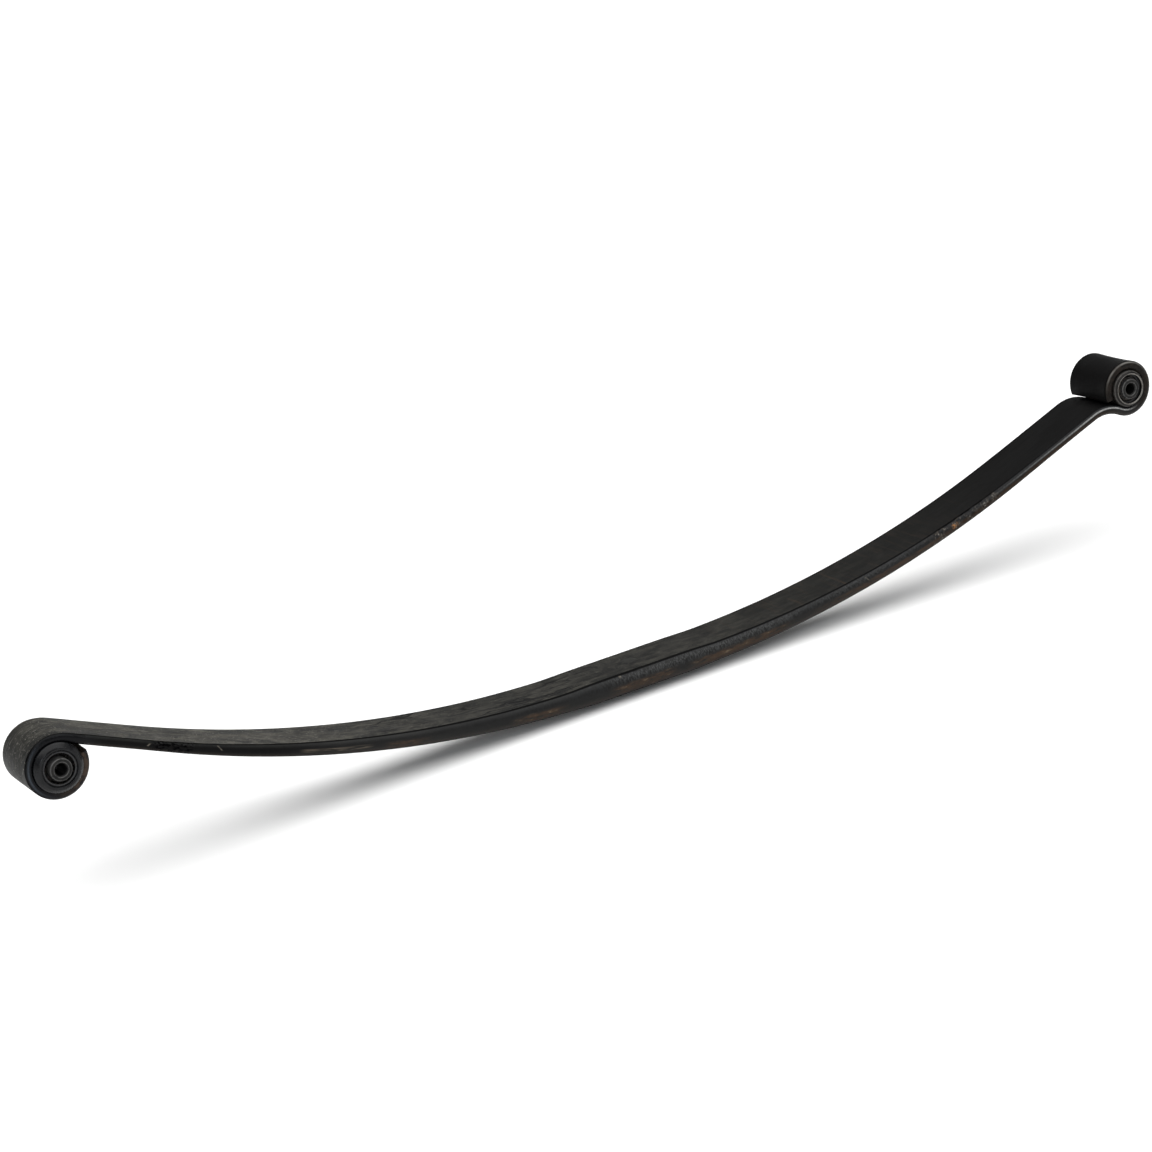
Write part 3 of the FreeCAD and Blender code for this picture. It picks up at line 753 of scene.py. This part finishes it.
# ------------------------------------------------------------------- leaf
front, FRONT_EYE = front_arm()
FRONT_EYE = Vector((-FRONT_EYE.x, FRONT_EYE.y))
rear, REAR_EYE = rear_arm()
leaf = add_object("leaf_skin", bar_mesh(front, rear),
                  leaf_paint("black_paint_on_flats", SHEEN_ON_FLATS))
leaf.data.materials.append(leaf_paint("black_paint_on_edges", SHEEN_ON_EDGES))
dented(leaf.data)
cut_dowel_hole(leaf)
paint_edges(leaf.data)
smooth_by_angle(leaf, LEAF_CREASE)
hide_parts("leaf")
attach(leaf, "spring")

# ------------------------------------------------------------------- bushes
MM = 0.001


def metres(corners):
    return [(r * MM, a * MM, soft * MM) for r, a, soft in corners]


sleeve_ends = (("front", FRONT_EYE, 45.0), ("rear", REAR_EYE, 39.0))
for end, eye, half in sleeve_ends:
    sleeve = turned(f"{end}_bush_inner_sleeve_skin", eye, metres([
        (6.1, half - 1.6, 0.2),
        (7.7, half, 0.3),
        (10.7, half, 0.4),
        (11.5, half - 0.8, 0.4),
    ]), sleeve_steel(f"{end}_sleeve_steel", eye))
    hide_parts(f"{end}_bush_inner_sleeve")
    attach(sleeve, f"{end}_sleeve")

front_rubber = turned("front_bush_rubber_skin", FRONT_EYE, metres([
    (11.55, 34.5, 0.2),
    (14.4, 35.5, 0.6),
    (15.5, 40.3, 0.5),
    (16.8, 40.7, 0.3),
    (17.6, 40.0, 0.4),
    (18.7, 42.0, 1.2),
    (21.2, 41.6, 1.4),
    (24.6, 38.4, 0.9),
    (25.5, 37.0, 0.5),
    (25.5, 34.9, 0.3),
    (22.3, 34.9, 0.0),
    (22.3, 33.0, 0.0),
    (20.7, 33.0, 0.0),
]), rubber("front_bush_rubber", FRONT_EYE, 0.17, 0.35))
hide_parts("front_bush_rubber")
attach(front_rubber, "spring")

rear_rubber = turned("rear_bush_rubber_skin", REAR_EYE, metres([
    (11.55, 34.4, 0.2),
    (12.9, 34.5, 0.3),
    (13.6, 32.1, 0.4),
    (15.2, 31.6, 0.8),
    (16.8, 32.1, 0.4),
    (17.4, 33.3, 0.3),
    (18.4, 33.3, 0.2),
]), rubber("rear_bush_rubber", REAR_EYE, 0.34, 0.9))
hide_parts("rear_bush_rubber")
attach(rear_rubber, "spring")

rear_shell = turned("rear_bush_outer_shell_skin", REAR_EYE, metres([
    (18.4, 34.5, 1.2),
    (16.2, 37.7, 0.5),
    (17.0, 38.5, 0.5),
    (18.0, 38.5, 0.5),
    (18.8, 37.7, 0.6),
    (21.0, 34.5, 1.2),
]), shell_steel("rear_shell_steel", REAR_EYE, 0.0184))
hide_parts("rear_bush_outer_shell")
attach(rear_shell, "spring")

bpy.data.objects["front_bush_outer_shell"].data.materials.clear()
bpy.data.objects["front_bush_outer_shell"].data.materials.append(
    shell_steel("front_shell_steel", FRONT_EYE, 0.0207))


# -------------------------------------------------------------------- dowel
def dowel_mesh():
    """Shank flush with the seat and a smaller chamfered nose under it."""
    ease = 0.0004
    outline = (
        (0.0, SEAT_THICK), (DOWEL_RADIUS - ease, SEAT_THICK), (DOWEL_RADIUS, SEAT_THICK - ease),
        (DOWEL_RADIUS, 0.0), (NOSE_RADIUS, 0.0), (NOSE_RADIUS, -NOSE_REACH + NOSE_CHAMFER),
        (NOSE_RADIUS - NOSE_CHAMFER, -NOSE_REACH), (0.0, -NOSE_REACH),
    )
    mesh = bmesh.new()
    top = mesh.verts.new((0.0, 0.0, outline[0][1]))
    bottom = mesh.verts.new((0.0, 0.0, outline[-1][1]))
    rings = [[mesh.verts.new((r * math.cos(2 * math.pi * i / DOWEL_SEGMENTS),
                              r * math.sin(2 * math.pi * i / DOWEL_SEGMENTS), z))
              for i in range(DOWEL_SEGMENTS)] for r, z in outline[1:-1]]
    for i in range(DOWEL_SEGMENTS):
        j = (i + 1) % DOWEL_SEGMENTS
        mesh.faces.new((top, rings[0][i], rings[0][j]))
        mesh.faces.new((bottom, rings[-1][j], rings[-1][i]))
        for upper, lower in zip(rings, rings[1:]):
            mesh.faces.new((upper[i], lower[i], lower[j], upper[j]))
    bmesh.ops.recalc_face_normals(mesh, faces=mesh.faces)
    return mesh


dowel = add_object("centre_dowel_skin", dowel_mesh(), dowel_paint())
smooth_by_angle(dowel, TURNED_CREASE)
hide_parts("centre_dowel")
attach(dowel, "spring")

# ------------------------------------------------------------------ studio
floor_level = cad_box[0][2]
floor_mesh = bmesh.new()
bmesh.ops.create_grid(floor_mesh, x_segments=1, y_segments=1, size=60.0)
floor = add_object("floor", floor_mesh, floor_paper())
floor.location.z = floor_level


def softbox(name, at, towards, width, height, power, colour=(1.0, 1.0, 1.0)):
    light = bpy.data.objects.new(name, bpy.data.lights.new(name, "AREA"))
    light.data.shape = "RECTANGLE"
    light.data.size = width
    light.data.size_y = height
    light.data.energy = power
    light.data.color = colour
    light.location = at
    aim = Vector(towards) - Vector(at)
    light.rotation_euler = aim.to_track_quat("-Z", "Y").to_euler()
    bpy.context.scene.collection.objects.link(light)


softbox("key", (1.7, -2.9, 2.5), (0.2, 0.0, 0.1), 1.8, 1.0, 26.0)
softbox("window", (-2.7, -3.8, 1.9), (-0.6, 0.0, 0.1), 0.9, 1.3, 36.0, (0.90, 0.95, 1.0))

CAMERA_AT = Vector((-1.4639, -2.9467, 1.1672))
CAMERA_RIGHT = Vector((0.8639, -0.47514, -0.1671))
CAMERA_UP = Vector((0.28679, 0.19132, 0.93869))
camera = bpy.data.objects.new("camera", bpy.data.cameras.new("camera"))
bpy.context.scene.collection.objects.link(camera)
back = CAMERA_RIGHT.cross(CAMERA_UP)
turn = Matrix((CAMERA_RIGHT, CAMERA_UP, back)).transposed()
camera.matrix_world = Matrix.Translation(CAMERA_AT) @ turn.to_4x4()
camera.data.sensor_width = 36.0
camera.data.lens = 102.26
camera.data.clip_end = 200.0
bpy.context.scene.camera = camera

# soft light: a bright ceiling, a dim band below it and a pale horizon
SKY = ((0.00, 0.36), (0.18, 0.36), (0.36, 0.06), (0.58, 0.06), (0.78, 1.00))
world = bpy.data.worlds.new("studio")
bpy.context.scene.world = world
world.use_nodes = True
sky = world.node_tree
direction = sky.nodes.new("ShaderNodeTexCoord")
split = sky.nodes.new("ShaderNodeSeparateXYZ")
ramp = sky.nodes.new("ShaderNodeValToRGB")
while len(ramp.color_ramp.elements) < len(SKY):
    ramp.color_ramp.elements.new(1.0)
for stop, (height, level) in zip(ramp.color_ramp.elements, SKY):
    stop.position = height
    stop.color = (level, level, level, 1.0)
sky.links.new(direction.outputs["Generated"], split.inputs[0])
sky.links.new(split.outputs["Z"], ramp.inputs[0])
sky.links.new(ramp.outputs["Color"], sky.nodes["Background"].inputs["Color"])
sky.nodes["Background"].inputs["Strength"].default_value = 2.4
bpy.context.scene.view_settings.view_transform = "Standard"
